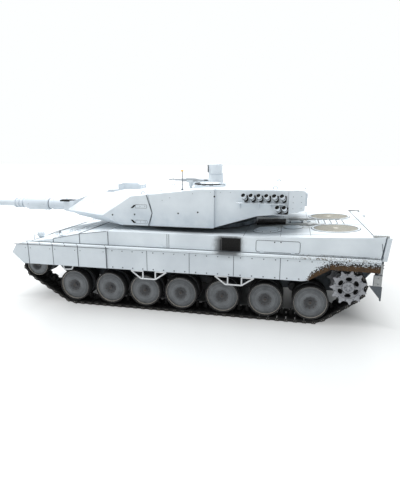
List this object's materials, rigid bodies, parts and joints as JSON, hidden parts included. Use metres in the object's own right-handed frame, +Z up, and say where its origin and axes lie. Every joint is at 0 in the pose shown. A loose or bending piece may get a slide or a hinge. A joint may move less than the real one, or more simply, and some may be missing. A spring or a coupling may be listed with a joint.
{
  "type": "radio-controlled model tank",
  "caption": "Radio-controlled model battle tank with sprung road wheels, linked tracks, a turning turret and an elevating gun.",
  "frame": {"origin": "on the ground under the centre of the whole model's box, gun included", "axes": "+X forward along the gun, +Y to the tank's left, +Z up"},
  "size_m": [0.685, 0.235, 0.186],
  "materials": {
    "winter_white": "matt winter whitewash over moulded plastic",
    "skirt_white": "matt whitewash with grime along the lower edge",
    "wheel_grey": "satin dark blue-grey with worn rims",
    "sprocket_grey": "satin light grey, worn",
    "track_black": "blackened metal links",
    "arm_dark": "satin dark grey",
    "tub_white": "matt pale grey",
    "grille_mesh": "woven steel mesh in a white rim",
    "gun_white": "matt whitewash",
    "bearing_black": "greased black acetal",
    "battery_wrap": "heat-shrink wrap",
    "board_green": "solder mask",
    "gearbox_grey": "die cast",
    "gun_metal": "pale grey wash over gun metal"
  },
  "bodies": {
    "hull": {"lower_hull": "tub_white", "upper_hull": "winter_white", "skirt_left": "skirt_white", "skirt_right": "skirt_white", "side_steps": "winter_white", "fan_grilles": "grille_mesh", "deck_fittings": "winter_white", "front_fittings": "winter_white", "rear_fittings": "winter_white", "turret_bearing": "bearing_black", "track_left": "track_black", "track_right": "track_black", "return_rollers": "arm_dark", "drive_gearboxes": "gearbox_grey", "battery_pack": "battery_wrap", "electronics": "board_green"},
    "turret": {"turret_shell": "winter_white", "turret_base": "bearing_black", "turret_fittings": "winter_white", "turret_drive": "gearbox_grey", "smoke_launchers": "winter_white"},
    "gun": {"gun_mantlet": "winter_white", "gun_barrel": "gun_white"},
    "panoramic_sight": {"panoramic_sight": "winter_white"},
    "machine_gun": {"machine_gun": "gun_metal"},
    "commander_hatch": {"commander_hatch": "winter_white"},
    "loader_hatch": {"loader_hatch": "winter_white"},
    "driver_hatch": {"driver_hatch": "winter_white"},
    "sprocket_left": {"sprocket_left": "sprocket_grey"},
    "idler_left": {"idler_left": "wheel_grey"},
    "road_wheel_left_1": {"road_wheel_left_1": "wheel_grey"},
    "swing_arm_left_1": {"swing_arm_left_1": "arm_dark"},
    "road_wheel_left_2": {"road_wheel_left_2": "wheel_grey"},
    "swing_arm_left_2": {"swing_arm_left_2": "arm_dark"},
    "road_wheel_left_3": {"road_wheel_left_3": "wheel_grey"},
    "swing_arm_left_3": {"swing_arm_left_3": "arm_dark"},
    "road_wheel_left_4": {"road_wheel_left_4": "wheel_grey"},
    "swing_arm_left_4": {"swing_arm_left_4": "arm_dark"},
    "road_wheel_left_5": {"road_wheel_left_5": "wheel_grey"},
    "swing_arm_left_5": {"swing_arm_left_5": "arm_dark"},
    "road_wheel_left_6": {"road_wheel_left_6": "wheel_grey"},
    "swing_arm_left_6": {"swing_arm_left_6": "arm_dark"},
    "road_wheel_left_7": {"road_wheel_left_7": "wheel_grey"},
    "swing_arm_left_7": {"swing_arm_left_7": "arm_dark"},
    "sprocket_right": {"sprocket_right": "sprocket_grey"},
    "idler_right": {"idler_right": "wheel_grey"},
    "road_wheel_right_1": {"road_wheel_right_1": "wheel_grey"},
    "swing_arm_right_1": {"swing_arm_right_1": "arm_dark"},
    "road_wheel_right_2": {"road_wheel_right_2": "wheel_grey"},
    "swing_arm_right_2": {"swing_arm_right_2": "arm_dark"},
    "road_wheel_right_3": {"road_wheel_right_3": "wheel_grey"},
    "swing_arm_right_3": {"swing_arm_right_3": "arm_dark"},
    "road_wheel_right_4": {"road_wheel_right_4": "wheel_grey"},
    "swing_arm_right_4": {"swing_arm_right_4": "arm_dark"},
    "road_wheel_right_5": {"road_wheel_right_5": "wheel_grey"},
    "swing_arm_right_5": {"swing_arm_right_5": "arm_dark"},
    "road_wheel_right_6": {"road_wheel_right_6": "wheel_grey"},
    "swing_arm_right_6": {"swing_arm_right_6": "arm_dark"},
    "road_wheel_right_7": {"road_wheel_right_7": "wheel_grey"},
    "swing_arm_right_7": {"swing_arm_right_7": "arm_dark"}
  },
  "joints": [
    {"name": "turret_traverse", "type": "hinge", "parent": "hull", "child": "turret", "pos_m": [-0.1175, 0, 0.106], "axis": [0, 0, 1], "continuous": true},
    {"name": "gun_elevation", "type": "hinge", "parent": "turret", "child": "gun", "pos_m": [0.0375, 0, 0.1225], "axis": [0, -1, 0], "range_deg": [-5, 20]},
    {"name": "sight_rotation", "type": "hinge", "parent": "turret", "child": "panoramic_sight", "pos_m": [-0.1265, -0.006, 0.158], "axis": [0, 0, 1], "continuous": true},
    {"name": "machine_gun_swing", "type": "hinge", "parent": "turret", "child": "machine_gun", "pos_m": [-0.1015, 0.044, 0.16], "axis": [0, 0, 1], "range_deg": [-60, 60]},
    {"name": "commander_hatch_hinge", "type": "hinge", "parent": "turret", "child": "commander_hatch", "pos_m": [-0.122, -0.046, 0.1613], "axis": [0, -1, 0], "range_deg": [0, 95]},
    {"name": "loader_hatch_hinge", "type": "hinge", "parent": "turret", "child": "loader_hatch", "pos_m": [-0.147, 0.04, 0.1613], "axis": [0, -1, 0], "range_deg": [0, 95]},
    {"name": "driver_hatch_swing", "type": "hinge", "parent": "hull", "child": "driver_hatch", "pos_m": [0.0155, -0.063, 0.1014], "axis": [0.1272, 0, 0.9919], "range_deg": [0, 90]},
    {"name": "sprocket_left_drive", "type": "hinge", "parent": "hull", "child": "sprocket_left", "pos_m": [-0.3035, 0.087, 0.0502], "axis": [0, 1, 0], "continuous": true},
    {"name": "idler_left_spin", "type": "hinge", "parent": "hull", "child": "idler_left", "pos_m": [0.1015, 0.087, 0.052], "axis": [0, 1, 0], "continuous": true},
    {"name": "suspension_left_1", "type": "hinge", "parent": "hull", "child": "swing_arm_left_1", "pos_m": [0.0674, 0.0654, 0.034], "axis": [0, 1, 0], "range_deg": [0, 12], "stiffness_Nm_per_rad": 0.3, "springref_deg": -17.19},
    {"name": "road_wheel_left_1_spin", "type": "hinge", "parent": "swing_arm_left_1", "child": "road_wheel_left_1", "pos_m": [0.0464, 0.087, 0.0266], "axis": [0, 1, 0], "continuous": true},
    {"name": "suspension_left_2", "type": "hinge", "parent": "hull", "child": "swing_arm_left_2", "pos_m": [0.0155, 0.0654, 0.034], "axis": [0, 1, 0], "range_deg": [0, 12], "stiffness_Nm_per_rad": 0.3, "springref_deg": -17.19},
    {"name": "road_wheel_left_2_spin", "type": "hinge", "parent": "swing_arm_left_2", "child": "road_wheel_left_2", "pos_m": [-0.0055, 0.087, 0.0266], "axis": [0, 1, 0], "continuous": true},
    {"name": "suspension_left_3", "type": "hinge", "parent": "hull", "child": "swing_arm_left_3", "pos_m": [-0.0329, 0.0654, 0.034], "axis": [0, 1, 0], "range_deg": [0, 12], "stiffness_Nm_per_rad": 0.3, "springref_deg": -17.19},
    {"name": "road_wheel_left_3_spin", "type": "hinge", "parent": "swing_arm_left_3", "child": "road_wheel_left_3", "pos_m": [-0.0539, 0.087, 0.0266], "axis": [0, 1, 0], "continuous": true},
    {"name": "suspension_left_4", "type": "hinge", "parent": "hull", "child": "swing_arm_left_4", "pos_m": [-0.0813, 0.0654, 0.034], "axis": [0, 1, 0], "range_deg": [0, 12], "stiffness_Nm_per_rad": 0.3, "springref_deg": -17.19},
    {"name": "road_wheel_left_4_spin", "type": "hinge", "parent": "swing_arm_left_4", "child": "road_wheel_left_4", "pos_m": [-0.1023, 0.087, 0.0266], "axis": [0, 1, 0], "continuous": true},
    {"name": "suspension_left_5", "type": "hinge", "parent": "hull", "child": "swing_arm_left_5", "pos_m": [-0.1347, 0.0654, 0.034], "axis": [0, 1, 0], "range_deg": [0, 12], "stiffness_Nm_per_rad": 0.3, "springref_deg": -17.19},
    {"name": "road_wheel_left_5_spin", "type": "hinge", "parent": "swing_arm_left_5", "child": "road_wheel_left_5", "pos_m": [-0.1557, 0.087, 0.0266], "axis": [0, 1, 0], "continuous": true},
    {"name": "suspension_left_6", "type": "hinge", "parent": "hull", "child": "swing_arm_left_6", "pos_m": [-0.1881, 0.0654, 0.034], "axis": [0, 1, 0], "range_deg": [0, 12], "stiffness_Nm_per_rad": 0.3, "springref_deg": -17.19},
    {"name": "road_wheel_left_6_spin", "type": "hinge", "parent": "swing_arm_left_6", "child": "road_wheel_left_6", "pos_m": [-0.2091, 0.087, 0.0266], "axis": [0, 1, 0], "continuous": true},
    {"name": "suspension_left_7", "type": "hinge", "parent": "hull", "child": "swing_arm_left_7", "pos_m": [-0.2415, 0.0654, 0.034], "axis": [0, 1, 0], "range_deg": [0, 12], "stiffness_Nm_per_rad": 0.3, "springref_deg": -17.19},
    {"name": "road_wheel_left_7_spin", "type": "hinge", "parent": "swing_arm_left_7", "child": "road_wheel_left_7", "pos_m": [-0.2625, 0.087, 0.0266], "axis": [0, 1, 0], "continuous": true},
    {"name": "sprocket_right_drive", "type": "hinge", "parent": "hull", "child": "sprocket_right", "pos_m": [-0.3035, -0.087, 0.0502], "axis": [0, 1, 0], "continuous": true},
    {"name": "idler_right_spin", "type": "hinge", "parent": "hull", "child": "idler_right", "pos_m": [0.1015, -0.087, 0.052], "axis": [0, 1, 0], "continuous": true},
    {"name": "suspension_right_1", "type": "hinge", "parent": "hull", "child": "swing_arm_right_1", "pos_m": [0.0674, -0.0654, 0.034], "axis": [0, 1, 0], "range_deg": [0, 12], "stiffness_Nm_per_rad": 0.3, "springref_deg": -17.19},
    {"name": "road_wheel_right_1_spin", "type": "hinge", "parent": "swing_arm_right_1", "child": "road_wheel_right_1", "pos_m": [0.0464, -0.087, 0.0266], "axis": [0, 1, 0], "continuous": true},
    {"name": "suspension_right_2", "type": "hinge", "parent": "hull", "child": "swing_arm_right_2", "pos_m": [0.0155, -0.0654, 0.034], "axis": [0, 1, 0], "range_deg": [0, 12], "stiffness_Nm_per_rad": 0.3, "springref_deg": -17.19},
    {"name": "road_wheel_right_2_spin", "type": "hinge", "parent": "swing_arm_right_2", "child": "road_wheel_right_2", "pos_m": [-0.0055, -0.087, 0.0266], "axis": [0, 1, 0], "continuous": true},
    {"name": "suspension_right_3", "type": "hinge", "parent": "hull", "child": "swing_arm_right_3", "pos_m": [-0.0329, -0.0654, 0.034], "axis": [0, 1, 0], "range_deg": [0, 12], "stiffness_Nm_per_rad": 0.3, "springref_deg": -17.19},
    {"name": "road_wheel_right_3_spin", "type": "hinge", "parent": "swing_arm_right_3", "child": "road_wheel_right_3", "pos_m": [-0.0539, -0.087, 0.0266], "axis": [0, 1, 0], "continuous": true},
    {"name": "suspension_right_4", "type": "hinge", "parent": "hull", "child": "swing_arm_right_4", "pos_m": [-0.0813, -0.0654, 0.034], "axis": [0, 1, 0], "range_deg": [0, 12], "stiffness_Nm_per_rad": 0.3, "springref_deg": -17.19},
    {"name": "road_wheel_right_4_spin", "type": "hinge", "parent": "swing_arm_right_4", "child": "road_wheel_right_4", "pos_m": [-0.1023, -0.087, 0.0266], "axis": [0, 1, 0], "continuous": true},
    {"name": "suspension_right_5", "type": "hinge", "parent": "hull", "child": "swing_arm_right_5", "pos_m": [-0.1347, -0.0654, 0.034], "axis": [0, 1, 0], "range_deg": [0, 12], "stiffness_Nm_per_rad": 0.3, "springref_deg": -17.19},
    {"name": "road_wheel_right_5_spin", "type": "hinge", "parent": "swing_arm_right_5", "child": "road_wheel_right_5", "pos_m": [-0.1557, -0.087, 0.0266], "axis": [0, 1, 0], "continuous": true},
    {"name": "suspension_right_6", "type": "hinge", "parent": "hull", "child": "swing_arm_right_6", "pos_m": [-0.1881, -0.0654, 0.034], "axis": [0, 1, 0], "range_deg": [0, 12], "stiffness_Nm_per_rad": 0.3, "springref_deg": -17.19},
    {"name": "road_wheel_right_6_spin", "type": "hinge", "parent": "swing_arm_right_6", "child": "road_wheel_right_6", "pos_m": [-0.2091, -0.087, 0.0266], "axis": [0, 1, 0], "continuous": true},
    {"name": "suspension_right_7", "type": "hinge", "parent": "hull", "child": "swing_arm_right_7", "pos_m": [-0.2415, -0.0654, 0.034], "axis": [0, 1, 0], "range_deg": [0, 12], "stiffness_Nm_per_rad": 0.3, "springref_deg": -17.19},
    {"name": "road_wheel_right_7_spin", "type": "hinge", "parent": "swing_arm_right_7", "child": "road_wheel_right_7", "pos_m": [-0.2625, -0.087, 0.0266], "axis": [0, 1, 0], "continuous": true}
  ],
  "couplings": [
    {"joint": "idler_left_spin", "follows": "sprocket_left_drive", "ratio": 1.128},
    {"joint": "road_wheel_left_1_spin", "follows": "sprocket_left_drive", "ratio": 0.8997},
    {"joint": "road_wheel_left_2_spin", "follows": "sprocket_left_drive", "ratio": 0.8997},
    {"joint": "road_wheel_left_3_spin", "follows": "sprocket_left_drive", "ratio": 0.8997},
    {"joint": "road_wheel_left_4_spin", "follows": "sprocket_left_drive", "ratio": 0.8997},
    {"joint": "road_wheel_left_5_spin", "follows": "sprocket_left_drive", "ratio": 0.8997},
    {"joint": "road_wheel_left_6_spin", "follows": "sprocket_left_drive", "ratio": 0.8997},
    {"joint": "road_wheel_left_7_spin", "follows": "sprocket_left_drive", "ratio": 0.8997},
    {"joint": "idler_right_spin", "follows": "sprocket_right_drive", "ratio": 1.128},
    {"joint": "road_wheel_right_1_spin", "follows": "sprocket_right_drive", "ratio": 0.8997},
    {"joint": "road_wheel_right_2_spin", "follows": "sprocket_right_drive", "ratio": 0.8997},
    {"joint": "road_wheel_right_3_spin", "follows": "sprocket_right_drive", "ratio": 0.8997},
    {"joint": "road_wheel_right_4_spin", "follows": "sprocket_right_drive", "ratio": 0.8997},
    {"joint": "road_wheel_right_5_spin", "follows": "sprocket_right_drive", "ratio": 0.8997},
    {"joint": "road_wheel_right_6_spin", "follows": "sprocket_right_drive", "ratio": 0.8997},
    {"joint": "road_wheel_right_7_spin", "follows": "sprocket_right_drive", "ratio": 0.8997}
  ]
}
